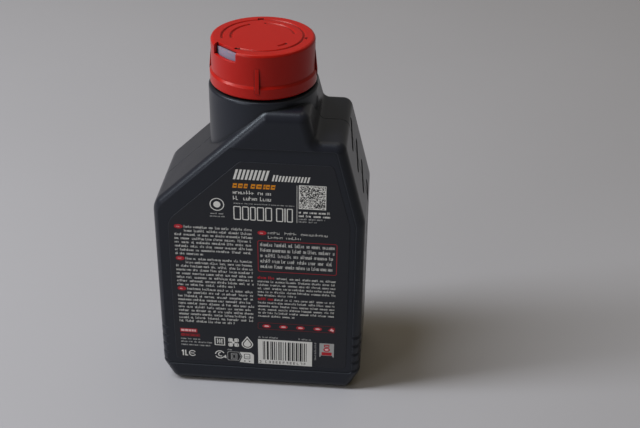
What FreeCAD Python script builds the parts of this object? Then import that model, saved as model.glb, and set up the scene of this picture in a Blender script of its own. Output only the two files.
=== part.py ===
import FreeCAD, Part
import math
import os

V = FreeCAD.Vector

# Motor oil bottle of about one litre: a flat blow-moulded bottle with an off-centre tower,
# closed by a red overcap that is snapped over a pale threaded inner closure with a sealing disc.
# Millimetres, +Z up. The origin is on the tower's axis, on the plane that the bottle stands on.
# The photographed broad face looks along -Y, and the high ledge is on the +X side.

# Bottle body, seen from the broad side
width = 114.0
depth = 63.0
wall = 1.1
foot_width = 101.4
chamfer_height = 11.8
left_shoulder_z = 117.6
right_shoulder_z = 111.4
plateau_z = 174.7
plateau_left_x = 3.0
riser_top_x = 25.8
riser_foot_x = 30.2
ledge_z = 158.4
ledge_right_x = 44.9

# Roundings of the body outline and of its broad faces
chamfer_round = 6.5
shoulder_round = 11.0
riser_foot_round = 4.0
face_round = 5.4
hollow_bevel = 2.6

# Tower and neck, both on the origin's axis
tower_radius = 28.8
tower_top_z = 179.0
tower_root_z = 100.0
tower_rim_round = 1.4
tower_rim_steps = 2
neck_bore_radius = 19.6
neck_wall = 1.8
neck_height = 20.8
neck_lip_round = 0.5
neck_bead_step = 1.2
neck_bead_height = 1.6
neck_bead_lift = 2.4

# Shallow label panel on both broad faces, which runs out into the rounding of the low side
panel_depth = 0.5
panel_low_side_margin = 2.0
panel_high_side_margin = 4.7
panel_bottom_z = 11.8
panel_top_z = 154.4
panel_round = 2.0

# Push-up in the bottle's base, which leaves a standing ring
push_up_height = 1.6
push_up_margin = 9.0
push_up_round = 6.0

# Short grip notches round the four upright corners, near the base
notch_count = 5
notch_first_z = 13.6
notch_pitch = 5.9
notch_width = 2.6
notch_depth = 0.65

# Slanted grip slots down the high side
slot_count = 8
slot_pitch = 13.0
slot_top_margin = 9.0
slot_length = 23.0
slot_width = 3.4
slot_depth = 0.5
slot_slant_deg = 24.0
slot_corner_share = 0.35

# Printed film on the photographed face
label_thickness = 0.12
label_side_margin = 8.1
label_slant_margin = 12.0
label_bottom_z = 15.2
label_top_z = 146.5
label_round = 3.0

# Sealing disc, threaded inner closure and overcap
liner_thickness = 1.0
liner_clearance = 0.5
thread_space = 1.9
closure_wall = 1.5
closure_top_thickness = 1.4
closure_length = 14.4
cap_clearance = 0.6
cap_top_thickness = 1.9
cap_wall = 1.6
cap_band_step = 0.9
cap_band_height = 6.0
cap_shelf_rise = 1.4
cap_gap = 1.0
cap_top_round = 1.3
cap_foot_round = 0.8

# Outer grip ribs and inner splines of the overcap
rib_count = 4
rib_first_deg = -89.7
rib_width = 2.2
rib_foot = 3.4
rib_rise = 10.8
rib_stand = 0.3
rib_head_stand = 0.15
spline_count = 8
spline_width = 1.2
bead_height = 1.4
bead_clearance = 0.3
bead_grip = 0.6

# Window through the overcap's top edge, over the inner closure
window_azimuth_deg = -131.5
window_depth = 4.0
window_half_width = 8.3
window_height = 5.4

# Rings and marks in the overcap's top face
ring_depth = 0.6
ring_floor_share = 0.4
outer_ring_margin = 5.9
outer_ring_width = 1.6
outer_ring_arc_deg = (-118.0, 198.0)
inner_ring_margin = 10.7
inner_ring_width = 1.8
inner_ring_arcs_deg = ((122.0, 200.0), (12.0, 94.0), (-56.0, -36.0))
tooth_azimuths_deg = (100.0, -6.0, -118.0)
tooth_length = 3.2
tooth_width = 2.0

# Radii that follow from the sizes above, from the neck outwards
neck_radius = neck_bore_radius + neck_wall
neck_bead_radius = neck_radius + neck_bead_step
closure_bore_radius = neck_radius + thread_space
closure_radius = closure_bore_radius + closure_wall
cap_radius = closure_radius + cap_clearance + cap_wall
cap_band_radius = cap_radius + cap_band_step
bead_inner_radius = closure_radius - bead_grip
window_chord = cap_radius - window_depth
outer_ring_radius = cap_radius - outer_ring_margin
inner_ring_radius = cap_radius - inner_ring_margin

# Heights that follow from the sizes above
neck_top_z = tower_top_z + neck_height
liner_top_z = neck_top_z + liner_thickness
closure_top_z = liner_top_z + closure_top_thickness
cap_top_z = closure_top_z + cap_top_thickness
cap_bottom_z = tower_top_z + cap_gap
closure_bottom_z = closure_top_z - closure_length


def body_corners():
    """Corners of the body's outline in the XZ plane, anticlockwise, each with its rounding."""
    half = width / 2
    foot = foot_width / 2
    return [
        (-foot, 0.0, face_round),
        (foot, 0.0, face_round),
        (half, chamfer_height, chamfer_round),
        (half, right_shoulder_z, shoulder_round),
        (ledge_right_x, ledge_z, face_round),
        (riser_foot_x, ledge_z, riser_foot_round),
        (riser_top_x, plateau_z, face_round),
        (plateau_left_x, plateau_z, face_round),
        (-half, left_shoulder_z, shoulder_round),
        (-half, chamfer_height, chamfer_round),
    ]


def inset_corners(corners, distance):
    """Moves every side of an outline inwards by a distance, and its roundings with it."""
    moved = []
    for index, (x, z, radius) in enumerate(corners):
        before = corners[index - 1]
        after = corners[(index + 1) % len(corners)]
        arriving = V(x - before[0], 0, z - before[1]).normalize()
        leaving = V(after[0] - x, 0, after[1] - z).normalize()
        normal_in = V(-arriving.z, 0, arriving.x)
        normal_out = V(-leaving.z, 0, leaving.x)
        shift = (normal_in + normal_out) * (distance / (1 + normal_in.dot(normal_out)))
        convex = arriving.x * leaving.z - arriving.z * leaving.x > 0
        new_radius = radius - distance if convex else radius + distance
        moved.append((x + shift.x, z + shift.z, new_radius))
    return moved


def rounded_face(corners, y):
    """A flat face at the given y, whose outline has straight sides and an arc at each corner."""
    points = [V(x, y, z) for x, z, radius in corners]
    arcs = []
    for index, point in enumerate(points):
        radius = corners[index][2]
        back = (points[index - 1] - point).normalize()
        ahead = (points[(index + 1) % len(points)] - point).normalize()
        half_angle = back.getAngle(ahead) / 2
        reach = radius / math.tan(half_angle)
        centre = point + (back + ahead).normalize() * (radius / math.sin(half_angle))
        middle = centre + (point - centre).normalize() * radius
        arcs.append((point + back * reach, middle, point + ahead * reach))
    edges = []
    for index, (start, middle, end) in enumerate(arcs):
        following = arcs[(index + 1) % len(arcs)]
        edges.append(Part.Arc(start, middle, end).toShape())
        edges.append(Part.LineSegment(end, following[0]).toShape())
    return Part.Face(Part.Wire(edges))


def prism(corners, y_from, y_to):
    """An outline in the XZ plane carried along Y."""
    return rounded_face(corners, y_from).extrude(V(0, y_to - y_from, 0))


def edges_at_y(solid, y):
    """The edges that lie flat in the plane of a broad face."""
    found = []
    for edge in solid.Edges:
        box = edge.BoundBox
        if abs(box.YMin - y) < 1e-6 and abs(box.YMax - y) < 1e-6:
            found.append(edge)
    return found


def body_block(inset):
    """The body without its tower. Outside, the broad faces round into the sides; the hollow is bevelled."""
    corners = inset_corners(body_corners(), inset)
    half = depth / 2 - inset
    block = prism(corners, -half, half)
    rims = edges_at_y(block, -half) + edges_at_y(block, half)
    if inset > 0:
        return block.makeChamfer(hollow_bevel, rims)
    return block.makeFillet(face_round, rims)


def ring_around(profile):
    """A closed (radius, height) profile turned about the bottle's axis."""
    points = [V(radius, 0, z) for radius, z in profile]
    face = Part.Face(Part.makePolygon(points + points[:1]))
    return face.revolve(V(0, 0, 0), V(0, 0, 1), 360)


def tower(inset):
    """The round tower that carries the neck, with its rim eased by narrow bevels."""
    top = tower_top_z - inset
    radius = tower_radius - inset
    profile = [(0.0, tower_root_z), (radius, tower_root_z)]
    steps = tower_rim_steps if inset == 0 else 1
    for step in range(steps + 1):
        angle = math.pi / 2 * step / steps
        out = tower_rim_round * math.cos(angle)
        up = tower_rim_round * math.sin(angle)
        profile.append((radius - tower_rim_round + out, top - tower_rim_round + up))
    profile.append((0.0, top))
    return ring_around(profile)


def face_corners(low_side, slant, high_side, bottom_z, top_z, rounding):
    """An outline on a broad face, level at top and bottom, at set margins from the body's sides."""
    body = body_corners()
    upright = inset_corners(body, low_side)[8]
    slant_high, slant_low = inset_corners(body, slant)[7:9]
    high_bend, high_top = inset_corners(body, high_side)[3:5]
    slope = (slant_high[1] - slant_low[1]) / (slant_high[0] - slant_low[0])
    lean = (high_top[0] - high_bend[0]) / (high_top[1] - high_bend[1])
    return [
        (upright[0], bottom_z, rounding),
        (high_bend[0], bottom_z, rounding),
        (high_bend[0], high_bend[1], shoulder_round),
        (high_bend[0] + lean * (top_z - high_bend[1]), top_z, rounding),
        (slant_low[0] + (top_z - slant_low[1]) / slope, top_z, rounding),
        (upright[0], slant_low[1] + slope * (upright[0] - slant_low[0]), shoulder_round),
    ]


def panel_corners():
    """Outline of the label panel, between the foot's chamfer and the high ledge."""
    low_side = panel_low_side_margin
    return face_corners(low_side, low_side, panel_high_side_margin, panel_bottom_z, panel_top_z, panel_round)


def panel_tools(grow):
    """Two shallow prisms that sink the label panels into the broad faces."""
    corners = inset_corners(panel_corners(), -grow)
    face = depth / 2 - grow
    floor = face - panel_depth
    return [prism(corners, -face - wall, -floor), prism(corners, floor, face + wall)]


def push_up_tool(grow):
    """The raised middle of the base, as a tapered block of rounded plan."""
    half_x = foot_width / 2 - push_up_margin + grow
    half_y = depth / 2 - push_up_margin + grow
    height = push_up_height + grow
    radius = push_up_round + grow
    block = Part.makeBox(2 * half_x, 2 * half_y, height + wall, V(-half_x, -half_y, -wall))
    upright = [edge for edge in block.Edges if edge.BoundBox.ZLength > height]
    return block.makeFillet(radius, upright)


def notch_tools():
    """Grooves of V section, which wrap the four upright corners near the base."""
    tools = []
    # The V is drawn one depth above the surface too, where it is twice as wide
    floor = face_round - notch_depth
    mouth = face_round + notch_depth
    half_mouth = notch_width
    for side_x in (-1, 1):
        for side_y in (-1, 1):
            spin = side_x * side_y
            for index in range(notch_count):
                z = notch_first_z + index * notch_pitch
                centre = V(side_x * (width / 2 - face_round), side_y * (depth / 2 - face_round), z)
                points = [
                    centre + V(side_x * floor, 0, 0),
                    centre + V(side_x * mouth, 0, -half_mouth),
                    centre + V(side_x * mouth, 0, half_mouth),
                ]
                section = Part.Face(Part.makePolygon(points + points[:1]))
                tools.append(section.revolve(centre, V(0, 0, 1), spin * 90))
    return tools


def slot_tool(centre, normal):
    """One slanted slot, square to the side wall at the given point."""
    height = slot_depth + wall
    block = Part.makeBox(slot_length, slot_width, height, V(-slot_length / 2, -slot_width / 2, -slot_depth))
    upright = [edge for edge in block.Edges if edge.BoundBox.ZLength > height / 2]
    tool = block.makeChamfer(slot_width * slot_corner_share, upright)
    tool.rotate(V(0, 0, 0), V(0, 0, 1), 90 + slot_slant_deg)
    tilt = math.degrees(math.atan2(normal.x, normal.z))
    tool.rotate(V(0, 0, 0), V(0, 1, 0), tilt)
    tool.translate(centre)
    return tool


def slot_tools():
    """The row of slots down the slanted side and on down the upright side."""
    foot = V(width / 2, 0, right_shoulder_z)
    slant = V(ledge_right_x, 0, ledge_z) - foot
    slant_length = slant.Length
    upwards = slant.normalize()
    slant_normal = V(upwards.z, 0, -upwards.x)
    tools = []
    for index in range(slot_count):
        travel = slot_top_margin + index * slot_pitch
        above_bend = slant_length - travel
        if above_bend > 0:
            tools.append(slot_tool(foot + upwards * above_bend, slant_normal))
        else:
            tools.append(slot_tool(foot + V(0, 0, above_bend), V(1, 0, 0)))
    return tools


def moulded_form(inset):
    """The bottle's outer form for an inset of nothing, and its hollow for an inset of one wall."""
    form = body_block(inset).fuse(tower(inset))
    return form.cut(panel_tools(inset) + [push_up_tool(inset)])


def neck():
    """The plain neck with its bead and bevelled lip, solid, from the tower's top to the rim."""
    bead_low = tower_top_z + neck_bead_lift
    bead_high = bead_low + neck_bead_height
    bead_slope = neck_bead_radius - neck_radius
    return ring_around([
        (0.0, tower_top_z - wall),
        (neck_radius, tower_top_z - wall),
        (neck_radius, bead_low - bead_slope / 2),
        (neck_bead_radius, bead_low),
        (neck_bead_radius, bead_high - bead_slope / 2),
        (neck_radius, bead_high),
        (neck_radius, neck_top_z - neck_lip_round),
        (neck_radius - neck_lip_round, neck_top_z),
        (0.0, neck_top_z),
    ])


def bottle():
    """The blow-moulded bottle: its outer form and neck, less one hollow of even wall."""
    outer = moulded_form(0.0).cut(notch_tools() + slot_tools()).fuse(neck())
    bore_length = neck_height + 4 * wall
    bore = Part.makeCylinder(neck_bore_radius, bore_length, V(0, 0, neck_top_z + wall - bore_length))
    hollow = moulded_form(wall).fuse(bore)
    return outer.cut(hollow).removeSplitter()


def back_label():
    """The printed film in the photographed panel, held back further along the long slanted side."""
    side = label_side_margin
    corners = face_corners(side, label_slant_margin, side, label_bottom_z, label_top_z, label_round)
    floor = -depth / 2 + panel_depth
    return prism(corners, floor - label_thickness, floor)


def cap_liner():
    """The soft sealing disc that is pressed onto the neck's rim."""
    return Part.makeCylinder(closure_bore_radius - liner_clearance, liner_thickness, V(0, 0, neck_top_z))


def inner_closure():
    """The pale threaded closure inside the overcap: a top disc and a plain skirt."""
    return ring_around([
        (0.0, liner_top_z),
        (closure_bore_radius, liner_top_z),
        (closure_bore_radius, closure_bottom_z),
        (closure_radius, closure_bottom_z),
        (closure_radius, closure_top_z),
        (0.0, closure_top_z),
    ])


def cap_shell():
    """The overcap's turned form: top plate, wall, shelf, foot band and snap bead."""
    shelf_z = cap_bottom_z + cap_band_height
    wall_inner = closure_radius + cap_clearance
    bead_top_z = closure_bottom_z - bead_clearance
    bead_low_z = bead_top_z - bead_height
    band_inner = cap_band_radius - cap_wall
    edge_part = cap_top_round / 3
    return ring_around([
        (0.0, cap_top_z),
        (cap_radius - cap_top_round, cap_top_z),
        (cap_radius - edge_part, cap_top_z - edge_part),
        (cap_radius, cap_top_z - cap_top_round),
        (cap_radius, shelf_z + cap_shelf_rise),
        (cap_band_radius, shelf_z),
        (cap_band_radius, cap_bottom_z + cap_foot_round),
        (cap_band_radius - cap_foot_round, cap_bottom_z),
        (band_inner, cap_bottom_z),
        (band_inner, bead_low_z),
        (bead_inner_radius, bead_low_z),
        (bead_inner_radius, bead_top_z),
        (wall_inner, bead_top_z),
        (wall_inner, closure_top_z),
        (0.0, closure_top_z),
    ])


def turned(solid, angle_deg):
    """A copy of a solid, turned about the bottle's axis."""
    copy = solid.copy()
    copy.rotate(V(0, 0, 0), V(0, 0, 1), angle_deg)
    return copy


def sectors(profile, width_across, count, first_deg):
    """A closed (radius, height) profile carried a short way round the axis, and repeated."""
    points = [V(radius, 0, z) for radius, z in profile]
    face = Part.Face(Part.makePolygon(points + points[:1]))
    angle = math.degrees(width_across / max(radius for radius, z in profile))
    sector = face.revolve(V(0, 0, 0), V(0, 0, 1), angle)
    return [turned(sector, first_deg - angle / 2 + index * 360 / count) for index in range(count)]


def cap_ribs():
    """Upright grip ribs, proud of the foot band, that slope back into the wall above the shelf."""
    foot_z = cap_bottom_z + rib_foot
    shelf_z = cap_bottom_z + cap_band_height
    head_z = shelf_z + rib_rise
    root = cap_radius - cap_wall / 2
    proud = cap_band_radius + rib_stand
    profile = [
        (root, foot_z),
        (cap_band_radius, foot_z),
        (proud, foot_z + rib_stand),
        (proud, shelf_z + cap_shelf_rise / 2),
        (cap_radius + rib_head_stand, head_z),
        (root, head_z),
    ]
    return sectors(profile, rib_width, rib_count, rib_first_deg)


def cap_splines():
    """Inner splines between the overcap's wall and the inner closure, which turn it."""
    inner = closure_radius + cap_clearance / 2
    outer = closure_radius + cap_clearance + cap_wall / 2
    low = closure_bottom_z + bead_clearance
    high = closure_top_z + cap_top_thickness / 2
    profile = [(inner, low), (outer, low), (outer, high), (inner, high)]
    return sectors(profile, spline_width, spline_count, 0.0)


def cap_window():
    """The cut through the top edge, with a straight lip across the top plate."""
    reach = cap_band_radius + cap_wall - window_chord
    tool = Part.makeBox(reach, 2 * window_half_width, window_height + cap_wall,
                        V(window_chord, -window_half_width, cap_top_z - window_height))
    return turned(tool, window_azimuth_deg)


def ring_cut(radius, width_across, start_deg, end_deg):
    """A groove with sloping sides in the top face, along part of a circle."""
    # The sloping sides are drawn one depth above the surface too
    low = cap_top_z - ring_depth
    high = cap_top_z + ring_depth
    half_floor = width_across / 2 * ring_floor_share
    half_mouth = width_across - half_floor
    points = [
        V(radius - half_floor, 0, low),
        V(radius + half_floor, 0, low),
        V(radius + half_mouth, 0, high),
        V(radius - half_mouth, 0, high),
    ]
    face = Part.Face(Part.makePolygon(points + points[:1]))
    return turned(face.revolve(V(0, 0, 0), V(0, 0, 1), end_deg - start_deg), start_deg)


def cap_top_cuts():
    """The grooves and the three small recesses in the overcap's top face."""
    cuts = [ring_cut(outer_ring_radius, outer_ring_width, *outer_ring_arc_deg)]
    for start_deg, end_deg in inner_ring_arcs_deg:
        cuts.append(ring_cut(inner_ring_radius, inner_ring_width, start_deg, end_deg))
    for azimuth in tooth_azimuths_deg:
        tooth = Part.makeBox(tooth_width, tooth_length, 2 * ring_depth,
                             V(outer_ring_radius, -tooth_length / 2, cap_top_z - ring_depth))
        cuts.append(turned(tooth, azimuth))
    return cuts


def cap():
    """The red overcap, moulded in one piece."""
    solid = cap_shell().fuse(cap_ribs() + cap_splines())
    return solid.cut([cap_window()] + cap_top_cuts()).removeSplitter()


NODES = {
    "bottle": bottle,
    "back_label": back_label,
    "cap_liner": cap_liner,
    "inner_closure": inner_closure,
    "cap": cap,
}


def single_solid(shape):
    """The one solid that a sub-part consists of."""
    return shape.Solids[0] if len(shape.Solids) == 1 else shape


def main():
    """Builds every sub-part, prints its volume and writes it to its own file."""
    os.makedirs("parts", exist_ok=True)
    for name, build in NODES.items():
        shape = single_solid(build())
        box = shape.BoundBox
        print(name, shape.ShapeType, shape.isValid(), len(shape.Faces), round(shape.Volume / 1000, 2),
              [round(v, 2) for v in (box.XMin, box.XMax, box.YMin, box.YMax, box.ZMin, box.ZMax)])
        shape.exportStep("parts/" + name + ".step")


if __name__ == "__main__":
    main()
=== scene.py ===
"""Looks of a flat one-litre motor oil bottle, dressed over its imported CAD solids.

The frame is in metres with +Z up, and its origin lies on the tower's axis on the plane that
the bottle stands on. Lengths of the bottle and the cap are written in millimetres and are
scaled when a mesh is made. The stage is written in metres.
"""

import logging
import math
import random
from dataclasses import dataclass, field
from enum import Enum

import bpy
from mathutils import Matrix, Vector


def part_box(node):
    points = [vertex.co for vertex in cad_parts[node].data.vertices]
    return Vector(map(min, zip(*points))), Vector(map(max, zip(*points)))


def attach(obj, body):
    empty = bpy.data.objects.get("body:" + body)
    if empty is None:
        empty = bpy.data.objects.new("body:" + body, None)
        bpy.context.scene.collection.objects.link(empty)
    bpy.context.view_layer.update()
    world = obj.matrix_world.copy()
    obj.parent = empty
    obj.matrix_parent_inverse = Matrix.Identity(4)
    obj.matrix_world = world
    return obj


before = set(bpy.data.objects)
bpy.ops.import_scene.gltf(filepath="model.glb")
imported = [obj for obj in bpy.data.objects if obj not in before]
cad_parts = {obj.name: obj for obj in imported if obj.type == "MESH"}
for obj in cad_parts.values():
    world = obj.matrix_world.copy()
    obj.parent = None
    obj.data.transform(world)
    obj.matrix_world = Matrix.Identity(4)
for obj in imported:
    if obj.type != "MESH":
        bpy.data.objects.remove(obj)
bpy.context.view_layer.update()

LOG = logging.getLogger("bottle_scene")
MM = 0.001
Colour = tuple[float, float, float, float]
Corner = tuple[float, float]

# Sizes that more than one class uses, in millimetres
LABEL_FACE_Y = round(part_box("back_label")[0][1] / MM, 3)
THREAD_PITCH = 6.0
SEAT = 0.05

# Numbers inside the shared effects
NOISE_MIDDLE = 0.5
RUB_FROM = 0.6
RUB_FULL = 0.78
RUB_ROUGHER = 0.25
PIT_SHARE = 0.4


def rgb(red: int, green: int, blue: int) -> Colour:
    """Turns an sRGB colour into a linear one.

    Args:
        red: Red, from 0 to 255.
        green: Green, from 0 to 255.
        blue: Blue, from 0 to 255.

    Returns:
        The linear colour with full alpha.
    """
    linear = []
    for value in (red, green, blue):
        share = value / 255
        linear.append(share / 12.92 if share <= 0.04045 else ((share + 0.055) / 1.055) ** 2.4)
    return (linear[0], linear[1], linear[2], 1.0)


class Body(str, Enum):
    """The CAD bodies that pieces ride on."""

    BOTTLE = "bottle_body"
    CAP = "screw_cap"


# Shader graphs and shared effects


class Graph:
    """A node tree, with short ways to add nodes and to link or set their inputs."""

    def __init__(self, tree: bpy.types.NodeTree) -> None:
        """Takes the tree that the nodes go into."""
        self.tree = tree

    def add(self, kind: str, inputs: dict | None = None, **settings: object) -> bpy.types.Node:
        """Adds a node.

        Args:
            kind: Blender's name for the node type.
            inputs: Values or output sockets by input name or index.
            settings: Properties of the node, such as operation or node_tree.

        Returns:
            The new node.
        """
        node = self.tree.nodes.new(kind)
        for name, value in settings.items():
            setattr(node, name, value)
        for name, value in (inputs or {}).items():
            self.put(node.inputs[name], value)
        return node

    def put(self, socket: bpy.types.NodeSocket, value: object) -> None:
        """Links an input to an output socket, or sets the input's own value.

        Args:
            socket: The input.
            value: An output socket, or a plain value.
        """
        if isinstance(value, bpy.types.NodeSocket):
            self.tree.links.new(value, socket)
        else:
            socket.default_value = value

    def math(self, operation: str, first: object, second: object = 0.0) -> bpy.types.NodeSocket:
        """Adds one arithmetic step.

        Args:
            operation: Blender's name for the step.
            first: First number or output socket.
            second: Second number or output socket.

        Returns:
            The step's output socket.
        """
        node = self.add("ShaderNodeMath", {0: first, 1: second}, operation=operation)
        return node.outputs[0]

    def ramp(self, value: object, low: object, high: object, start: float = 0.0,
             end: float = 1.0) -> bpy.types.NodeSocket:
        """Adds a smooth step of a value.

        Args:
            value: The value's output socket.
            low: Where the step begins.
            high: Where the step is complete.
            start: What it gives below the step.
            end: What it gives above the step.

        Returns:
            The stepped value's output socket.
        """
        inputs = {0: value, 1: low, 2: high, 3: start, 4: end}
        return self.add("ShaderNodeMapRange", inputs, interpolation_type="SMOOTHSTEP").outputs[0]

    def mix(self, factor: object, first: object, second: object) -> bpy.types.NodeSocket:
        """Adds a mix of two colours.

        Args:
            factor: Share of the second colour.
            first: First colour.
            second: Second colour.

        Returns:
            The mixed colour's output socket.
        """
        node = self.add("ShaderNodeMix", data_type="RGBA")
        for index, value in ((0, factor), (6, first), (7, second)):
            self.put(node.inputs[index], value)
        return node.outputs[2]

    def effect(self, tree: bpy.types.NodeTree, inputs: dict) -> bpy.types.bpy_prop_collection:
        """Places a shared effect.

        Args:
            tree: The effect's node group.
            inputs: Values or output sockets by input name.

        Returns:
            The effect's output sockets.
        """
        return self.add("ShaderNodeGroup", inputs, node_tree=tree).outputs


class Group:
    """A named shader node group with its inputs and outputs."""

    def __init__(self, name: str, inputs: dict[str, tuple[str, object]], outputs: dict[str, str]) -> None:
        """Makes the group and its sockets.

        Args:
            name: The group's name.
            inputs: Socket kind and first value by input name.
            outputs: Socket kind by output name.
        """
        self.tree = bpy.data.node_groups.new(name, "ShaderNodeTree")
        for label, (kind, value) in inputs.items():
            socket = self.tree.interface.new_socket(label, in_out="INPUT", socket_type="NodeSocket" + kind)
            socket.default_value = value
        for label, kind in outputs.items():
            self.tree.interface.new_socket(label, in_out="OUTPUT", socket_type="NodeSocket" + kind)
        self.graph = Graph(self.tree)
        self.source = self.graph.add("NodeGroupInput").outputs
        self.sink = self.graph.add("NodeGroupOutput").inputs

    def give(self, **outputs: bpy.types.NodeSocket) -> None:
        """Sends values out of the group.

        Args:
            outputs: Output sockets by the name under which they leave.
        """
        for label, value in outputs.items():
            self.graph.put(self.sink[label], value)


def moulded_surface_group() -> bpy.types.NodeTree:
    """Builds the shade drift, fine grain and faint rubbing of moulded plastic.

    Returns:
        A group that gives a colour, a roughness and a height.
    """
    group = Group(
        "moulded_surface",
        {"Tint": ("Color", (0.5, 0.5, 0.5, 1.0)), "Shade": ("Float", 0.1), "ShadeScale": ("Float", 30.0),
         "Grain": ("Float", 1.0), "GrainScale": ("Float", 900.0), "Rough": ("Float", 0.4),
         "RoughSpread": ("Float", 0.08), "Rub": ("Float", 0.2), "RubTint": ("Color", (0.6, 0.6, 0.6, 1.0))},
        {"Colour": "Color", "Roughness": "Float", "Height": "Float"})
    g, source = group.graph, group.source
    place = g.add("ShaderNodeTexCoord").outputs["Object"]
    drift = g.add("ShaderNodeTexNoise", {"Vector": place, "Scale": source["ShadeScale"], "Detail": 4.0,
                                         "Roughness": 0.55}).outputs["Fac"]
    grain = g.add("ShaderNodeTexNoise", {"Vector": place, "Scale": source["GrainScale"], "Detail": 3.0,
                                         "Roughness": 0.6}).outputs["Fac"]
    pits = g.add("ShaderNodeTexVoronoi", {"Vector": place, "Scale": source["GrainScale"]}).outputs["Distance"]
    stretch = g.add("ShaderNodeMapping", {"Vector": place, "Rotation": (0.4, 0.7, 0.2),
                                          "Scale": (14.0, 90.0, 260.0)}).outputs[0]
    streak = g.add("ShaderNodeTexNoise", {"Vector": stretch, "Scale": 1.0, "Detail": 5.0,
                                          "Roughness": 0.7}).outputs["Fac"]
    rub = g.math("MULTIPLY", g.ramp(streak, RUB_FROM, RUB_FULL), source["Rub"])
    swing = g.math("SUBTRACT", drift, NOISE_MIDDLE)
    value = g.math("ADD", 1.0, g.math("MULTIPLY", swing, source["Shade"]))
    toned = g.add("ShaderNodeHueSaturation", {"Color": source["Tint"], "Value": value}).outputs[0]
    colour = g.mix(rub, toned, source["RubTint"])
    spread = g.math("MULTIPLY", swing, source["RoughSpread"])
    rough = g.math("ADD", g.math("ADD", source["Rough"], spread), g.math("MULTIPLY", rub, RUB_ROUGHER))
    bumps = g.math("ADD", grain, g.math("MULTIPLY", pits, PIT_SHARE))
    group.give(Colour=colour, Roughness=rough, Height=g.math("MULTIPLY", bumps, source["Grain"]))
    return group.tree


def parting_line_group() -> bpy.types.NodeTree:
    """Builds the fine upstanding line in the mould's parting plane, y = 0.

    Returns:
        A group that gives a height and a mask.
    """
    group = Group("parting_line", {"HalfWidth": ("Float", 0.00055), "Rise": ("Float", 1.0)},
                  {"Height": "Float", "Mask": "Float"})
    g, source = group.graph, group.source
    place = g.add("ShaderNodeTexCoord").outputs["Object"]
    side = g.math("ABSOLUTE", g.add("ShaderNodeSeparateXYZ", {0: place}).outputs["Y"])
    near = g.math("SUBTRACT", 1.0, g.math("DIVIDE", side, source["HalfWidth"]))
    mask = g.math("MAXIMUM", near, 0.0)
    group.give(Height=g.math("MULTIPLY", mask, source["Rise"]), Mask=mask)
    return group.tree


def edge_highlight_group() -> bpy.types.NodeTree:
    """Builds a measure of how sharply the surface turns, from its own normal and an eased one, which masks
    the painted edge highlights.

    Returns:
        A group that gives a mask.
    """
    group = Group("painted_edge_highlight",
                  {"Plain": ("Vector", (0.0, 0.0, 1.0)), "Eased": ("Vector", (0.0, 0.0, 1.0)),
                   "Low": ("Float", 0.02), "High": ("Float", 0.2)},
                  {"Mask": "Float"})
    g, source = group.graph, group.source
    likeness = g.add("ShaderNodeVectorMath", {0: source["Plain"], 1: source["Eased"]},
                     operation="DOT_PRODUCT")
    turn = g.math("SUBTRACT", 1.0, likeness.outputs["Value"])
    group.give(Mask=g.ramp(turn, source["Low"], source["High"]))
    return group.tree


SURFACE = moulded_surface_group()
PARTING_LINE = parting_line_group()
EDGE_HIGHLIGHT = edge_highlight_group()


# Finishes


def empty_material(name: str) -> tuple[bpy.types.Material, Graph]:
    """Makes a material without nodes.

    Args:
        name: The material's name.

    Returns:
        The material, and the graph to fill it by.
    """
    made = bpy.data.materials.new(name)
    made.use_nodes = True
    made.node_tree.nodes.clear()
    return made, Graph(made.node_tree)


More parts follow.
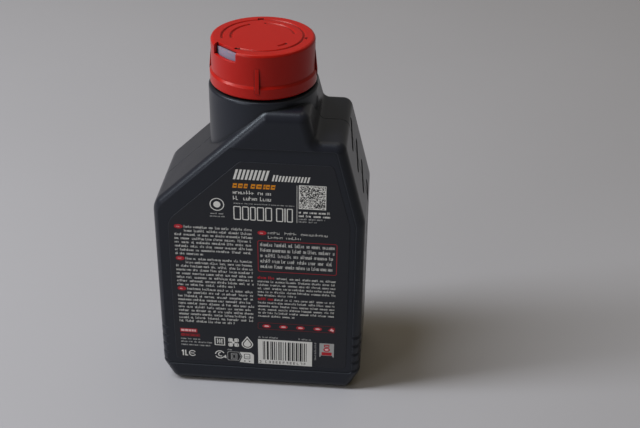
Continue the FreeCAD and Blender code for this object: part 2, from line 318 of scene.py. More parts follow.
@dataclass(frozen=True)
class Finish:
    """A moulded, printed or foamed finish, and how to make its material."""

    name: str
    tint: Colour
    rough: float
    rough_spread: float = 0.08
    shade: float = 0.12
    shade_scale: float = 28.0
    grain: float = 0.4
    grain_scale: float = 900.0
    bump_mm: float = 0.03
    rub: float = 0.1
    rub_tint: Colour = (0.5, 0.5, 0.5, 1.0)
    specular: float = 0.5
    sheen_tint: Colour = (1.0, 1.0, 1.0, 1.0)
    subsurface: float = 0.0
    subsurface_mm: float = 2.0
    # Along the parting line the surface is raised, darkened and made rougher.
    parting_rise: float = 0.0
    parting_darkening: float = 0.85
    parting_rougher: float = 0.4
    soften_mm: float = 0.0
    # Painted shade: ambient occlusion within this distance darkens the colour towards the shade tint in
    # hollows, grooves and slots, and makes them rougher. The same tint darkens the parting line.
    painted_shade_mm: float = 0.0
    painted_shade_open: float = 0.65
    crevice_rougher: float = 0.4
    shade_and_parting_tint: Colour = (0.0, 0.0, 0.0, 1.0)
    # Painted highlight: the colour is lightened towards the edge tint where the surface turns sharply.
    edge: float = 0.0
    edge_highlight_tint: Colour = (0.3, 0.3, 0.3, 1.0)
    samples: int = 8

    def surface(self, g: Graph) -> bpy.types.bpy_prop_collection:
        """Places the moulded surface with this finish's values.

        Args:
            g: The material's graph.

        Returns:
            The effect's output sockets.
        """
        return g.effect(SURFACE, {
            "Tint": self.tint, "Shade": self.shade, "ShadeScale": self.shade_scale, "Grain": self.grain,
            "GrainScale": self.grain_scale, "Rough": self.rough, "RoughSpread": self.rough_spread,
            "Rub": self.rub, "RubTint": self.rub_tint})

    def material(self) -> bpy.types.Material:
        """Builds the node material of this finish.

        Returns:
            The new material.
        """
        made, g = empty_material(self.name)
        surface = self.surface(g)
        colour, rough, height = surface["Colour"], surface["Roughness"], surface["Height"]
        # Along the parting line the surface is raised, darkened and made rougher.
        if self.parting_rise > 0:
            line = g.effect(PARTING_LINE, {"Rise": self.parting_rise})
            height = g.math("ADD", height, line["Height"])
            colour = g.mix(g.math("MULTIPLY", line["Mask"], self.parting_darkening), colour, self.shade_and_parting_tint)
            rough = g.math("ADD", rough, g.math("MULTIPLY", line["Mask"], self.parting_rougher))
        bump = g.add("ShaderNodeBump", {"Height": height, "Distance": self.bump_mm * MM, "Strength": 1.0})
        # Painted shade: ambient occlusion darkens the colour in hollows, grooves and slots.
        if self.painted_shade_mm > 0:
            occlusion = g.add("ShaderNodeAmbientOcclusion", {"Distance": self.painted_shade_mm * MM},
                           samples=self.samples)
            shade_mask = g.ramp(occlusion.outputs["AO"], self.painted_shade_open, 1.0, 1.0, 0.0)
            colour = g.mix(shade_mask, colour, self.shade_and_parting_tint)
            rough = g.math("ADD", rough, g.math("MULTIPLY", shade_mask, self.crevice_rougher))
        if self.soften_mm > 0:
            eased = g.add("ShaderNodeBevel", {"Radius": self.soften_mm * MM}, samples=self.samples).outputs[0]
            g.put(bump.inputs["Normal"], eased)
            # Painted highlight: sharp edges get a lighter colour.
            if self.edge > 0:
                plain = g.add("ShaderNodeNewGeometry").outputs["Normal"]
                edge_lit = g.effect(EDGE_HIGHLIGHT, {"Plain": plain, "Eased": eased})
                colour = g.mix(g.math("MULTIPLY", edge_lit["Mask"], self.edge), colour, self.edge_highlight_tint)
        shader = g.add("ShaderNodeBsdfPrincipled", {
            "Base Color": colour, "Roughness": rough, "Normal": bump.outputs[0],
            "Specular IOR Level": self.specular, "Specular Tint": self.sheen_tint,
            "Subsurface Weight": self.subsurface, "Subsurface Scale": self.subsurface_mm * MM})
        g.add("ShaderNodeOutputMaterial", {"Surface": shader.outputs[0]})
        return made


# Painted shade darkens the slots, notches and hollows of the dark plastic, and painted highlights lighten its
# sharp edges.
DARK_PLASTIC = Finish("dark_plastic_satin", rgb(26, 27, 35), rough=0.30, rough_spread=0.14, shade=0.22,
                      grain=0.5, grain_scale=1500.0, bump_mm=0.05, rub=0.06, rub_tint=rgb(60, 61, 66),
                      specular=0.4, sheen_tint=(0.84, 0.92, 1.0, 1.0), parting_rise=8.0, soften_mm=0.7,
                      edge=0.22, edge_highlight_tint=rgb(96, 101, 114), painted_shade_mm=2.2)
# A painted highlight lightens the border of the film.
LABEL_FILM = Finish("printed_film_dark", rgb(29, 29, 35), rough=0.46, rough_spread=0.06, shade=0.10,
                    grain=0.25, grain_scale=2600.0, bump_mm=0.02, rub=0.05, rub_tint=rgb(70, 70, 74),
                    specular=0.4, sheen_tint=(0.88, 0.94, 1.0, 1.0), soften_mm=0.35, edge=0.6,
                    edge_highlight_tint=rgb(78, 82, 94))
# Painted shade darkens the grooves on the cap's top and its other hollows.
RED_PLASTIC = Finish("red_plastic_satin", rgb(175, 18, 9), rough=0.30, rough_spread=0.10, shade=0.10,
                     grain=0.3, grain_scale=1400.0, bump_mm=0.02, rub=0.04, rub_tint=rgb(190, 70, 60),
                     specular=0.40, sheen_tint=(1.0, 0.66, 0.6, 1.0), subsurface=0.25, soften_mm=0.5,
                     painted_shade_mm=0.9, shade_and_parting_tint=rgb(70, 8, 6))
# Painted shade: the white closure, seen only inside the cap's shaded window, gets a darkened grey-lilac tint.
SHADED_PALE_PLASTIC = Finish("pale_plastic_painted_shade", rgb(138, 130, 150), rough=0.42, shade=0.08, grain=0.3,
                      grain_scale=1200.0, bump_mm=0.02, rub=0.05, rub_tint=rgb(200, 198, 206),
                      subsurface=0.15)
LINER_FOAM = Finish("liner_foam_white", rgb(226, 225, 220), rough=0.85, shade=0.06, grain=1.0,
                    grain_scale=3200.0, bump_mm=0.08, rub=0.0, specular=0.25)


class Ink(Enum):
    """The print's colours, each with its name and tint."""

    WHITE = ("ink_white", rgb(232, 232, 230))
    PALE = ("ink_pale", rgb(176, 177, 178))
    RED = ("ink_red", rgb(184, 30, 44))
    DEEP_RED = ("ink_deep_red", rgb(112, 26, 34))
    PINK = ("ink_pink", rgb(246, 196, 200))
    AMBER = ("ink_amber", rgb(230, 146, 16))
    DARK = ("ink_dark", rgb(30, 30, 33))

    def material(self) -> bpy.types.Material:
        """Builds the ink's material, a thin matt finish in its tint."""
        name, tint = self.value
        return Finish(name, tint, rough=0.5, rough_spread=0.05, shade=0.14, shade_scale=240.0, grain=0.3,
                      grain_scale=5200.0, bump_mm=0.01, rub=0.08, rub_tint=rgb(120, 120, 122),
                      specular=0.35).material()


# Meshes


def add_mesh(name: str, points: list, faces: list, material: bpy.types.Material, body: Body,
             smooth: bool = False) -> None:
    """Makes an object from points in millimetres, and lets it ride on a CAD body.

    Args:
        name: The piece's name.
        points: Corner positions in millimetres.
        faces: Corner indices of each face.
        material: The piece's material.
        body: The CAD body that carries it.
        smooth: Whether its faces are shaded smooth.
    """
    mesh = bpy.data.meshes.new(name)
    mesh.from_pydata([Vector(p) * MM for p in points], [], faces)
    if smooth:
        mesh.shade_smooth()
    mesh.materials.append(material)
    piece = bpy.data.objects.new(name, mesh)
    bpy.context.scene.collection.objects.link(piece)
    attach(piece, body.value)
    LOG.info("%s: %d faces on %s", name, len(faces), body.value)


def dress(node: str, material: bpy.types.Material) -> None:
    """Gives a CAD node its material.

    Args:
        node: The node's name in the frame.
        material: The material that it gets.
    """
    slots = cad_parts[node].data.materials
    slots.clear()
    slots.append(material)
    LOG.info("%s: dressed in %s", node, material.name)


@dataclass
class Artwork:
    """Flat print on the label's face, gathered as polygons in (x, z) millimetres by ink."""

    layer: float = 0.01
    shapes: dict[Ink, list[tuple[list[Corner], int]]] = field(default_factory=dict)
    rng: random.Random = field(default_factory=lambda: random.Random(20417))

    def fill(self, ink: Ink, corners: list[Corner], level: int = 1) -> None:
        """Adds one filled polygon.

        Args:
            ink: Its colour.
            corners: Its corners, anticlockwise as seen from the front.
            level: Layer above the film.
        """
        self.shapes.setdefault(ink, []).append((corners, level))

    def bar(self, ink: Ink, x0: float, z0: float, x1: float, z1: float, lean: float = 0.0,
            level: int = 1) -> None:
        """Adds a rectangle, or a slanted one.

        Args:
            ink: Its colour.
            x0: Left side of its foot.
            z0: Its foot.
            x1: Right side of its foot.
            z1: Its top.
            lean: How far the top is moved to the right.
            level: Layer above the film.
        """
        self.fill(ink, [(x0, z0), (x1, z0), (x1 + lean, z1), (x0 + lean, z1)], level)

    def disc(self, ink: Ink, x: float, z: float, rx: float, rz: float, level: int = 1,
             count: int = 24) -> None:
        """Adds a filled ellipse.

        Args:
            ink: Its colour.
            x: Its centre.
            z: Its centre's height.
            rx: Half its width.
            rz: Half its height.
            level: Layer above the film.
            count: Number of its corners.
        """
        turns = [2 * math.pi / count * index for index in range(count)]
        self.fill(ink, [(x + rx * math.cos(turn), z + rz * math.sin(turn)) for turn in turns], level)

    def frame(self, ink: Ink, x0: float, z0: float, x1: float, z1: float, line: float, cut: float = 0.0,
              level: int = 1) -> None:
        """Adds a rectangular line, with its corners cut off.

        Args:
            ink: Its colour.
            x0: Outer left side.
            z0: Outer foot.
            x1: Outer right side.
            z1: Outer top.
            line: Width of the line.
            cut: Length that is cut off each outer corner.
            level: Layer above the film.
        """
        rims = []
        for inset, corner in ((0.0, cut), (line, max(0.0, cut - 0.6 * line))):
            left, low, right, high = x0 + inset, z0 + inset, x1 - inset, z1 - inset
            rims.append([(left + corner, low), (right - corner, low),
                         (right, low + corner), (right, high - corner),
                         (right - corner, high), (left + corner, high),
                         (left, high - corner), (left, low + corner)])
        outer, inner = rims
        for index, (first, near) in enumerate(zip(outer, inner)):
            after = (index + 1) % len(outer)
            self.fill(ink, [first, outer[after], inner[after], near], level)

    def ring(self, ink: Ink, x: float, z: float, radius: float, line: float, level: int = 1,
             start: float = 0.0, end: float = 360.0) -> None:
        """Adds a circle or an arc.

        Args:
            ink: Its colour.
            x: Its centre.
            z: Its centre's height.
            radius: Outer radius.
            line: Width of the line.
            level: Layer above the film.
            start: Angle where it begins, in degrees.
            end: Angle where it ends, in degrees.
        """
        steps = max(6, int((end - start) / 15))
        inner = radius - line
        for step in range(steps):
            a = math.radians(start + (end - start) * step / steps)
            b = math.radians(start + (end - start) * (step + 1) / steps)
            self.fill(ink, [(x + inner * math.cos(a), z + inner * math.sin(a)),
                            (x + radius * math.cos(a), z + radius * math.sin(a)),
                            (x + radius * math.cos(b), z + radius * math.sin(b)),
                            (x + inner * math.cos(b), z + inner * math.sin(b))], level)

    def strokes(self, ink: Ink, x0: float, x1: float, z: float, height: float, weight: float = 0.13,
                pitch: float = 0.5, level: int = 1) -> None:
        """Adds a line of small strokes in word-like runs, without letters.

        Args:
            ink: The strokes' colour.
            x0: Left end.
            x1: Right end.
            z: Foot of the line.
            height: Height of the tallest strokes.
            weight: Stroke width as a share of the height.
            pitch: Width of one stroke cell as a share of the height.
            level: Layer above the film.
        """
        cell = pitch * height
        line = weight * height
        low_top = 0.66
        x = x0
        left = self.rng.randint(2, 9)
        while x + cell <= x1:
            if left == 0:
                left = self.rng.randint(2, 9)
                x += cell * self.rng.uniform(0.9, 1.7)
                continue
            form = self.rng.random()
            top = z + height * (1.0 if form > 0.78 else low_top)
            self.bar(ink, x, z, x + line, top, level=level)
            if form > 0.2:
                bar_z = z + height * self.rng.choice((0.0, 0.27, 0.53))
                self.bar(ink, x + line, bar_z, x + cell - line, bar_z + line, level=level)
            if form < 0.55:
                side = x + cell * 0.62
                self.bar(ink, side, z, side + line, z + height * low_top, level=level)
            x += cell
            left -= 1

    def paragraph(self, ink: Ink, x0: float, x1: float, z_first: float, pitch: float, count: int,
                  height: float, indent: float = 0.0, indented: int = 0, last: float = 1.0,
                  weight: float = 0.13, pitch_share: float = 0.5) -> None:
        """Adds several lines of strokes.

        Args:
            ink: The strokes' colour.
            x0: Left edge.
            x1: Right edge.
            z_first: Foot of the first line.
            pitch: Distance from line to line.
            count: Number of lines.
            height: Stroke height.
            indent: How far the first lines are set in.
            indented: How many lines are set in.
            last: Length of the last line as a share of the full one.
            weight: Stroke width as a share of the height.
            pitch_share: Width of one stroke cell as a share of the height.
        """
        for row in range(count):
            left = x0 + (indent if row < indented else 0.0)
            right = x0 + (x1 - x0) * last if row == count - 1 else x1
            self.strokes(ink, left, right, z_first - row * pitch, height, weight, pitch_share)

    def build(self) -> None:
        """Makes one mesh for each ink, its layers a hair apart in front of the film."""
        for ink, polygons in self.shapes.items():
            points, faces = [], []
            for corners, level in polygons:
                y = LABEL_FACE_Y - self.layer * level
                faces.append(tuple(range(len(points), len(points) + len(corners))))
                points.extend((x, y, z) for x, z in corners)
            add_mesh("print_" + ink.value[0], points, faces, ink.material(), Body.BOTTLE)


@dataclass
class BackPrint:
    """The print of the photographed label, as plain blocks, lines, marks and strokes.

    Places are millimetres in the label's plane: x from the tower's axis, z from the ground.
    """

    art: Artwork = field(default_factory=Artwork)
    title_left: float = -13.1
    stripe_rows: tuple[float, float] = (136.0, 142.0)
    amber_rows: tuple[float, float] = (130.9, 133.6)
    heading_rows: tuple[float, float] = (111.4, 119.8)
    heading_gap: float = 0.65
    emblem_centre: Corner = (-21.8, 120.2)
    code_corner: Corner = (22.1, 120.4)
    code_size: float = 13.6
    code_cells: int = 31
    code_margin: float = 0.4
    column_left: float = -45.6
    column_right: float = 42.4
    oval: Corner = (2.4, 1.35)
    box_line: float = 0.28
    box_cut: float = 0.8
    small_left: float = -0.8
    volume_rows: tuple[float, float] = (17.9, 22.0)
    drop_centre: Corner = (-7.4, 28.6)
    bars_ends: tuple[float, float] = (1.5, 26.4)
    bars_rows: tuple[float, float] = (18.4, 31.5)
    digit_foot: float = 15.9
    stamp_right: float = 31.9
    badge_middle: float = 37.9

    def title(self) -> None:
        """Draws slanted stripes, an amber row and thin rows, with an upright rule beside them."""
        art = self.art
        foot, top = self.stripe_rows
        for index in range(9):
            x = -12.9 + 2.05 * index
            art.bar(Ink.WHITE, x, foot, x + 1.25, top, lean=1.7)
        for index in range(12):
            x = 7.5 + 1.66 * index
            art.bar(Ink.WHITE, x, 135.9, x + 0.95, 139.3 + 0.4 * (index < 2), lean=0.95)
        foot, top = self.amber_rows
        x = -13.3
        for share in (2.6, 2.8, 2.2, 0.0, 2.6, 3.4, 1.2, 2.4, 2.6):
            if share == 0.0:
                x += 1.2
                continue
            art.bar(Ink.AMBER, x, foot, x + share * 0.84, top, lean=0.5)
            art.bar(Ink.DARK, x + share * 0.28, 131.9, x + share * 0.84, 132.5, lean=0.1, level=2)
            x += share * 1.1
        art.strokes(Ink.WHITE, self.title_left, 7.6, 127.2, 2.3, weight=0.15, pitch=0.62)
        art.strokes(Ink.WHITE, self.title_left, 7.8, 123.6, 2.4, weight=0.15, pitch=0.62)
        art.strokes(Ink.PALE, -12.9, 19.4, 121.2, 0.8, weight=0.2)
        art.bar(Ink.WHITE, 20.6, 111.3, 20.85, 134.1)

    def heading(self) -> None:
        """Draws tall thin frames with cut corners in two groups."""
        art = self.art
        foot, top = self.heading_rows
        x = self.title_left
        for width in (4.0, 3.6, 3.0, 3.8, 3.6, 0.0, 3.8, 0.6, 3.2):
            if width == 0.0:
                x += 1.5
                continue
            if width < 1.0:
                art.bar(Ink.WHITE, x, foot, x + width, top)
            else:
                art.frame(Ink.WHITE, x, foot, x + width, top, 0.55, cut=0.45)
            x += width + self.heading_gap

    def emblem(self) -> None:
        """Draws a plain ring with a dot, and two short rows under it."""
        art = self.art
        x, z = self.emblem_centre
        art.ring(Ink.WHITE, x, z, 3.9, 0.5)
        art.disc(Ink.WHITE, x, z, 1.9, 1.9)
        art.strokes(Ink.PALE, -25.4, -18.2, 114.2, 0.9, weight=0.22)
        art.strokes(Ink.PALE, -25.8, -17.6, 112.5, 0.9, weight=0.22)

    def code_square(self) -> None:
        """Draws a pale square with a field of small dark squares, and the rows under it."""
        art = self.art
        left, low = self.code_corner
        size, margin = self.code_size, self.code_margin
        art.bar(Ink.WHITE, left - margin, low - margin, left + size + margin, low + size + margin)
        cell = size / self.code_cells
        for row in range(self.code_cells):
            for column in range(self.code_cells):
                if art.rng.random() < 0.5:
                    x, z = left + column * cell, low + row * cell
                    art.bar(Ink.DARK, x, z, x + cell, z + cell, level=2)
        for row in range(2):
            art.strokes(Ink.WHITE, 21.7, 38.9, 117.3 - 2.2 * row, 1.5, weight=0.2)
            art.strokes(Ink.PALE, 21.7, 36.0 - 4.0 * row, 113.3 - 1.6 * row, 1.1, weight=0.18)

    def left_column(self) -> None:
        """Draws three paragraphs of strokes, each led by a red oval."""
        art = self.art
        for z_first, count, last in ((104.6, 8, 0.36), (84.2, 8, 0.78), (64.2, 10, 0.76)):
            art.disc(Ink.RED, -43.2, z_first + 0.7, *self.oval)
            art.strokes(Ink.PINK, -44.4, -42.0, z_first + 0.2, 1.0, level=2)
            art.paragraph(Ink.WHITE, self.column_left, -3.0, z_first, 2.46, count, 1.65,
                          indent=5.4, indented=2, last=last)

    def right_column(self) -> None:
        """Draws a framed paragraph between lighter ones, and a framed row of red ovals."""
        art = self.art
        left, right = self.small_left, self.column_right
        art.disc(Ink.RED, 2.0, 103.9, *self.oval)
        art.strokes(Ink.PINK, 0.8, 3.2, 103.4, 1.0, level=2)
        art.strokes(Ink.WHITE, 5.2, 38.4, 103.4, 1.7, weight=0.13, pitch=0.95)
        art.strokes(Ink.WHITE, 5.2, 24.5, 100.6, 1.7, weight=0.13, pitch=0.95)
        art.frame(Ink.RED, -0.5, 79.0, 42.5, 99.1, self.box_line, cut=self.box_cut)
        art.paragraph(Ink.WHITE, 0.9, 41.4, 95.5, 3.5, 5, 2.4, last=0.98, weight=0.085, pitch_share=0.34)
        for z_first, word, count in ((74.2, 9.0, 6), (60.0, 7.5, 6)):
            art.strokes(Ink.RED, left, word, z_first, 1.8, weight=0.3)
            art.strokes(Ink.WHITE, word + 0.8, right, z_first, 1.45)
            art.paragraph(Ink.WHITE, left, right, z_first - 2.3, 2.3, count - 1, 1.45, last=0.5)
        art.frame(Ink.DEEP_RED, -1.2, 39.9, right, 44.6, self.box_line, cut=self.box_cut)
        for x in (3.8, 13.3, 22.9, 32.6):
            art.disc(Ink.RED, x, 42.2, 2.4, 1.3)
            art.disc(Ink.PINK, x, 42.2, 1.4, 0.5, level=2)
        art.fill(Ink.RED, [(38.2, 41.6), (41.6, 40.2), (42.2, 43.2), (40.4, 43.8)], level=2)
        art.fill(Ink.PINK, [(39.4, 41.7), (41.4, 40.9), (41.7, 42.0), (40.2, 43.0)], level=3)

    def address(self) -> None:
        """Draws a red and pale block with rows under it, and the volume mark."""
        art = self.art
        art.bar(Ink.RED, self.column_left, 34.8, -35.9, 37.4)
        art.bar(Ink.PINK, -45.1, 35.4, -36.6, 36.8, level=2)
        for x in (-43.2, -41.0, -39.4, -37.9):
            art.bar(Ink.RED, x, 35.4, x + 0.3, 36.8, level=3)
        art.bar(Ink.DEEP_RED, -45.4, 31.8, -34.4, 34.0)
        art.ring(Ink.RED, -44.2, 32.9, 0.9, 0.4, level=2)
        art.strokes(Ink.RED, -42.4, -35.2, 32.4, 1.0, weight=0.24, level=2)
        for row, (right, low) in enumerate(((-34.3, 29.7), (-27.6, 27.6), (-28.4, 25.4))):
            art.strokes(Ink.PALE, -45.5, right, low, 1.1 + 0.1 * row, weight=0.2)
        foot, top = self.volume_rows
        art.bar(Ink.WHITE, -45.0, foot, -44.3, top)
        art.fill(Ink.WHITE, [(-45.0, 20.6), (-45.0, top), (-45.8, 21.0)])
        art.bar(Ink.WHITE, -43.6, foot, -42.9, top)
        art.bar(Ink.WHITE, -42.9, foot, -41.9, 18.5)
        art.ring(Ink.WHITE, -39.3, 19.9, 2.1, 0.55, start=30, end=330)
        art.bar(Ink.WHITE, -40.6, 19.65, -38.2, 20.15)

    def symbols(self) -> None:
        """Draws the upper handling symbols, the lower ones and the short row between them."""
        self.frames_and_drop()
        self.ring_and_tags()
        self.art.strokes(Ink.PALE, -18.9, -16.0, 23.5, 1.2, weight=0.22)

    def frames_and_drop(self) -> None:
        """Draws a barred frame, four small frames with dots, and a drop."""
        art = self.art
        art.frame(Ink.WHITE, -26.2, 26.7, -20.2, 32.6, 0.55)
        for x in (-24.8, -23.5, -22.3):
            art.bar(Ink.WHITE, x, 28.0, x + 0.6, 31.3)
        art.bar(Ink.WHITE, -24.8, 29.4, -21.7, 29.9)
        for x in (-18.3, -14.9):
            for z in (26.3, 29.6):
                art.frame(Ink.WHITE, x, z, x + 2.6, z + 2.6, 0.5, cut=0.5)
        for x, z in ((-17.3, 30.5), (-14.2, 30.5), (-17.3, 27.2), (-14.2, 27.2), (-15.8, 28.9)):
            art.disc(Ink.WHITE, x + 0.4, z + 0.4, 0.85, 0.85, count=10)
        x, z = self.drop_centre
        turns = [math.radians(angle) for angle in range(-200, 21, 20)]
        for size, ink, level in ((1.0, Ink.WHITE, 1), (0.8, Ink.DARK, 2), (0.62, Ink.WHITE, 3)):
            drop = [(x + 3.3 * size * math.cos(turn), z + 3.1 * size * math.sin(turn)) for turn in turns]
            art.fill(ink, drop + [(x, z + 5.6 * size)], level)

    def ring_and_tags(self) -> None:
        """Draws a turned ring with a pointer, and a dark arrow that points into a pale tag."""
        art = self.art
        art.ring(Ink.WHITE, -23.4, 20.1, 2.9, 0.6, start=25, end=175)
        art.ring(Ink.WHITE, -23.4, 20.1, 2.9, 0.6, start=205, end=335)
        art.ring(Ink.WHITE, -22.9, 20.3, 1.6, 0.6, start=90, end=300)
        art.fill(Ink.WHITE, [(-21.6, 18.4), (-20.0, 20.2), (-19.6, 17.6)])
        art.fill(Ink.PALE, [(-18.4, 16.3), (-12.5, 16.3), (-10.9, 19.5), (-12.5, 22.7), (-18.4, 22.7),
                            (-19.1, 22.0), (-19.1, 17.0)])
        art.fill(Ink.DARK, [(-18.1, 16.6), (-12.7, 16.6), (-11.3, 19.5), (-12.7, 22.4), (-18.1, 22.4),
                            (-18.8, 21.7), (-18.8, 17.3)], level=2)
        art.frame(Ink.PALE, -17.0, 17.1, -13.4, 21.4, 0.35, level=3)
        art.frame(Ink.PALE, -16.2, 17.9, -14.2, 20.6, 0.25, level=3)
        art.fill(Ink.WHITE, [(-12.1, 15.5), (-3.9, 14.9), (-3.8, 21.2), (-5.4, 22.7), (-11.9, 22.7),
                             (-10.4, 19.5)])
        art.frame(Ink.DARK, -9.5, 17.9, -5.9, 21.6, 0.35, cut=0.5, level=2)
        art.bar(Ink.DARK, -8.9, 19.3, -6.5, 19.6, lean=0.3, level=2)
        for x in (-9.1, -6.4):
            art.disc(Ink.DARK, x, 16.4, 0.5, 0.4, level=2, count=10)

    def bar_code(self) -> None:
        """Draws a pale panel with upright dark bars, and the marks round it."""
        art = self.art
        art.bar(Ink.WHITE, -1.3, 15.3, 29.6, 32.8)
        foot, top = self.bars_rows
        x, end = self.bars_ends
        while x < end:
            width = art.rng.choice((0.35, 0.35, 0.35, 0.6, 0.9, 1.1))
            art.bar(Ink.DARK, x, foot, x + width, top, level=2)
            x += width + art.rng.choice((0.35, 0.35, 0.6, 0.9))
        self.digit_marks()
        art.strokes(Ink.PALE, -1.0, 10.4, 33.8, 1.1, weight=0.2)
        art.strokes(Ink.PALE, 21.8, 28.8, 33.8, 1.1, weight=0.2)
        z = 20.2
        while z < 32.4:
            width = art.rng.choice((0.6, 0.9, 1.1))
            art.bar(Ink.PALE, self.stamp_right - width, z, self.stamp_right, z + 0.26)
            z += art.rng.choice((0.5, 0.6, 0.9))
        self.badge()

    def digit_marks(self) -> None:
        """Draws the thirteen small marks under the bars."""
        art = self.art
        foot = self.digit_foot
        for place in range(13):
            x = 0.2 + 2.02 * place + (0.5 if place > 0 else -0.9)
            for bar in range(3):
                if art.rng.random() < 0.75:
                    low = foot + 0.72 * bar
                    art.bar(Ink.DARK, x, low, x + 1.1, low + 0.26, level=2)
            side = x + art.rng.choice((0.0, 0.8))
            art.bar(Ink.DARK, side, foot, side + 0.3, 17.6, level=2)

    def badge(self) -> None:
        """Draws the grey mark beside the bars, with its red figures."""
        art = self.art
        middle = self.badge_middle
        art.bar(Ink.PALE, 33.8, 23.8, 42.0, 32.4)
        art.fill(Ink.PALE, [(33.8, 22.5), (34.6, 23.2), (34.6, 23.8), (33.8, 23.8)])
        art.fill(Ink.PALE, [(42.0, 22.5), (42.0, 23.8), (41.2, 23.8), (41.2, 23.2)])
        art.bar(Ink.RED, 35.0, 24.0, 40.8, 26.2, level=2)
        art.disc(Ink.RED, middle, 28.0, 1.9, 1.4, level=2)
        art.disc(Ink.PINK, middle, 28.0, 1.1, 0.7, level=3)
        art.bar(Ink.RED, 36.4, 29.6, 39.4, 31.6, level=2)
        art.bar(Ink.PALE, 36.9, 30.2, 38.9, 30.9, level=3)

    def build(self) -> None:
        """Draws every part of the print, always in the same order, and makes its meshes."""
        for draw in (self.title, self.heading, self.emblem, self.code_square, self.left_column,
                     self.right_column, self.address, self.symbols, self.bar_code):
            draw()
        self.art.build()


@dataclass
class Thread:
    """A right-handed screw ridge on a cylinder's outside or inside."""

    name: str
    root: float
    crest: float
    z_low: float
    turns: float
    body: Body
    root_half: float = 1.0
    crest_half: float = 0.45
    run_out: float = 0.25
    tip_share: float = 0.02
    steps_per_turn: int = 72

    def build(self, material: bpy.types.Material) -> None:
        """Makes the ridge, which runs out to nearly nothing at both ends.

        Args:
            material: The ridge's material.
        """
        points, faces = [], []
        count = int(self.turns * self.steps_per_turn)
        for step in range(count + 1):
            turn = step / self.steps_per_turn
            angle = 2 * math.pi * turn
            ease = min(1.0, turn / self.run_out, (self.turns - turn) / self.run_out)
            crest = self.root + (self.crest - self.root) * max(self.tip_share, ease)
            z = self.z_low + THREAD_PITCH * turn
            for radius, offset in ((self.root, -self.root_half), (crest, -self.crest_half),
                                   (crest, self.crest_half), (self.root, self.root_half)):
                points.append((radius * math.cos(angle), radius * math.sin(angle), z + offset))
        for step in range(count):
            for first in range(step * 4, step * 4 + 3):
                quad = (first, first + 4, first + 5, first + 1)
                faces.append(quad if self.crest > self.root else quad[::-1])
        add_mesh(self.name, points, faces, material, self.body, smooth=True)


# Sub-assemblies


@dataclass
class Bottle:
    """The dark blow-moulded bottle with its neck thread, base seam and label."""

    neck_radius: float = 21.4
    thread_stand: float = 1.2
    thread_low: float = 186.2
    thread_turns: float = 1.9
    base_floor: float = 1.6
    seam_reach: int = 38
    seam_step: int = 2
    seam_fade: float = 6.0
    seam_end_share: float = 0.05
    seam_stand: float = 0.45
    seam_root_half: float = 0.7
    seam_crest_half: float = 0.25

    def build(self) -> None:
        """Dresses the CAD nodes and adds the pieces that ride on the bottle."""
        plastic = DARK_PLASTIC.material()
        dress("bottle", plastic)
        dress("back_label", LABEL_FILM.material())
        Thread("neck_thread", self.neck_radius - SEAT, self.neck_radius + self.thread_stand,
               self.thread_low, self.thread_turns, Body.BOTTLE).build(plastic)
        self.base_seam(plastic)
        BackPrint().build()

    def base_seam(self, material: bpy.types.Material) -> None:
        """Makes the pinched weld line across the pushed-up base.

        Args:
            material: The bottle's material.
        """
        points, faces = [], []
        places = range(-self.seam_reach, self.seam_reach + 1, self.seam_step)
        root = self.base_floor + SEAT
        for x in places:
            fade = min(1.0, (self.seam_reach - abs(x)) / self.seam_fade + self.seam_end_share)
            crest = self.base_floor - self.seam_stand * fade
            for y, z in ((-self.seam_root_half, root), (-self.seam_crest_half, crest),
                         (self.seam_crest_half, crest), (self.seam_root_half, root)):
                points.append((x, y, z))
        for step in range(len(places) - 1):
            for first in range(step * 4, step * 4 + 3):
                faces.append((first, first + 1, first + 5, first + 4))
        add_mesh("base_seam", points, faces, material, Body.BOTTLE, smooth=True)


@dataclass
class ScrewCap:
    """The red overcap with the pale closure and the sealing disc inside."""

    bore_radius: float = 23.3
    thread_stand: float = 1.3
    thread_low: float = 189.2
    thread_turns: float = 1.5

    def build(self) -> None:
        """Dresses the cap's CAD nodes and adds the inner thread."""
        dress("cap", RED_PLASTIC.material())
        pale = SHADED_PALE_PLASTIC.material()
        dress("inner_closure", pale)
        dress("cap_liner", LINER_FOAM.material())
        Thread("closure_thread", self.bore_radius + SEAT, self.bore_radius - self.thread_stand,
               self.thread_low, self.thread_turns, Body.CAP).build(pale)


# Stage


@dataclass(frozen=True)
class Lamp:
    """One soft rectangular lamp that is turned towards a point."""

    name: str
    place: tuple[float, float, float]
    aim: tuple[float, float, float]
    size: tuple[float, float]
    watts: float
    tint: tuple[float, float, float]

    def build(self) -> None:
        """Hangs the lamp."""
        light = bpy.data.lights.new(self.name, "AREA")
        light.shape = "RECTANGLE"
        light.size, light.size_y = self.size
        light.energy = self.watts
        light.color = self.tint
        lamp = bpy.data.objects.new(self.name, light)
        lamp.location = self.place
        lamp.rotation_euler = (Vector(self.aim) - Vector(self.place)).to_track_quat("-Z", "Y").to_euler()
        bpy.context.scene.collection.objects.link(lamp)


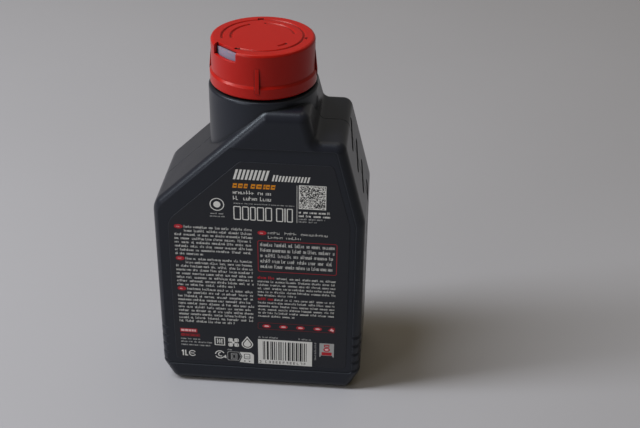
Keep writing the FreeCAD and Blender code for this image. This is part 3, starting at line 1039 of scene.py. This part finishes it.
@dataclass(frozen=True)
class PhotoCamera:
    """The photograph's camera, as fitted to the body's outline, with its angles in degrees."""

    azimuth: float = 4.14
    elevation: float = 31.04
    roll: float = 0.88
    distance: float = 0.632
    aim: tuple[float, float, float] = (0.03067, 0.0, 0.09883)
    lens_mm: float = 63.62
    sensor_mm: float = 36.0

    def build(self) -> None:
        """Sets the camera up and makes it the scene's own."""
        azimuth, elevation, roll = (math.radians(a) for a in (self.azimuth, self.elevation, self.roll))
        back = Vector((math.sin(azimuth) * math.cos(elevation), -math.cos(azimuth) * math.cos(elevation),
                       math.sin(elevation)))
        right = (-back).cross(Vector((0, 0, 1))).normalized()
        up = right.cross(-back)
        turned_right = math.cos(roll) * right + math.sin(roll) * up
        turned_up = math.cos(roll) * up - math.sin(roll) * right
        data = bpy.data.cameras.new("photo_camera")
        data.lens = self.lens_mm
        data.sensor_width = self.sensor_mm
        camera = bpy.data.objects.new("photo_camera", data)
        axes = Matrix((turned_right, turned_up, back)).transposed().to_4x4()
        camera.matrix_world = Matrix.Translation(Vector(self.aim) + back * self.distance) @ axes
        bpy.context.scene.collection.objects.link(camera)
        bpy.context.scene.camera = camera


@dataclass
class Stage:
    """Floor, surroundings, lamps and camera, in metres."""

    floor_half: float = 3.0
    floor_near: float = -3.0
    floor_far: float = 0.85
    floor_tint: Colour = rgb(170, 169, 174)
    floor_bump: float = 0.0001
    room_tint: Colour = (1.0, 0.83, 0.48, 1.0)
    room_strength: float = 0.112
    seen_tint: Colour = rgb(121, 119, 116)
    lamps: tuple[Lamp, ...] = (
        Lamp("key_light", (-1.08, -0.25, 1.42), (0.0, 0.0, 0.05), (0.36, 1.7), 34.5, (0.93, 0.965, 1.0)),
        Lamp("front_light", (-0.55, -0.65, 0.42), (0.0, -0.05, 0.02), (0.35, 0.35), 1.2, (0.95, 0.97, 1.0)),
        Lamp("ceiling_light", (0.1, 0.6, 1.7), (0.1, 0.0, 0.0), (1.4, 1.4), 3.6, (1.0, 0.9, 0.75)))
    camera: PhotoCamera = PhotoCamera()

    def build(self) -> None:
        """Sets up everything that is not the object."""
        self.floor()
        self.world()
        for lamp in self.lamps:
            lamp.build()
        self.camera.build()
        LOG.info("stage: floor, room, %d lamps and camera", len(self.lamps))

    def floor_material(self) -> bpy.types.Material:
        """Builds the floor's matt finish with a faint, slow drift of tone.

        Returns:
            The new material.
        """
        made, g = empty_material("floor_pale")
        surface = g.effect(SURFACE, {"Tint": self.floor_tint, "Shade": 0.05, "ShadeScale": 5.0, "Grain": 0.2,
                                     "GrainScale": 700.0, "Rough": 0.7, "Rub": 0.0})
        bump = g.add("ShaderNodeBump", {"Height": surface["Height"], "Distance": self.floor_bump,
                                        "Strength": 0.4})
        shader = g.add("ShaderNodeBsdfPrincipled", {
            "Base Color": surface["Colour"], "Roughness": surface["Roughness"],
            "Normal": bump.outputs[0], "Specular IOR Level": 0.2})
        g.add("ShaderNodeOutputMaterial", {"Surface": shader.outputs[0]})
        return made

    def floor(self) -> None:
        """Lays a wide plain floor."""
        half, near, far = self.floor_half, self.floor_near, self.floor_far
        mesh = bpy.data.meshes.new("floor")
        mesh.from_pydata([(-half, near, 0), (half, near, 0), (half, far, 0), (-half, far, 0)], [],
                         [(0, 1, 2, 3)])
        mesh.materials.append(self.floor_material())
        plane = bpy.data.objects.new("floor", mesh)
        bpy.context.scene.collection.objects.link(plane)

    def world(self) -> None:
        """Sets a dim warm room all round, of which the camera, gloss and glass see a plain grey."""
        world = bpy.data.worlds.new("room")
        world.use_nodes = True
        world.node_tree.nodes.clear()
        g = Graph(world.node_tree)
        room = g.add("ShaderNodeBackground", {"Color": self.room_tint, "Strength": self.room_strength})
        seen = g.add("ShaderNodeBackground", {"Color": self.seen_tint, "Strength": 1.0})
        path = g.add("ShaderNodeLightPath").outputs
        mirrored = g.math("MAXIMUM", path["Is Glossy Ray"], path["Is Transmission Ray"])
        shown = g.math("MAXIMUM", path["Is Camera Ray"], mirrored)
        both = g.add("ShaderNodeMixShader", {0: shown, 1: room.outputs[0], 2: seen.outputs[0]})
        g.add("ShaderNodeOutputWorld", {"Surface": both.outputs[0]})
        bpy.context.scene.world = world


def main() -> None:
    """Builds the whole scene."""
    logging.basicConfig(level=logging.INFO, format="%(name)s: %(message)s")
    bpy.context.scene.view_settings.view_transform = "Standard"
    Stage().build()
    Bottle().build()
    ScrewCap().build()


if __name__ == "__main__":
    main()
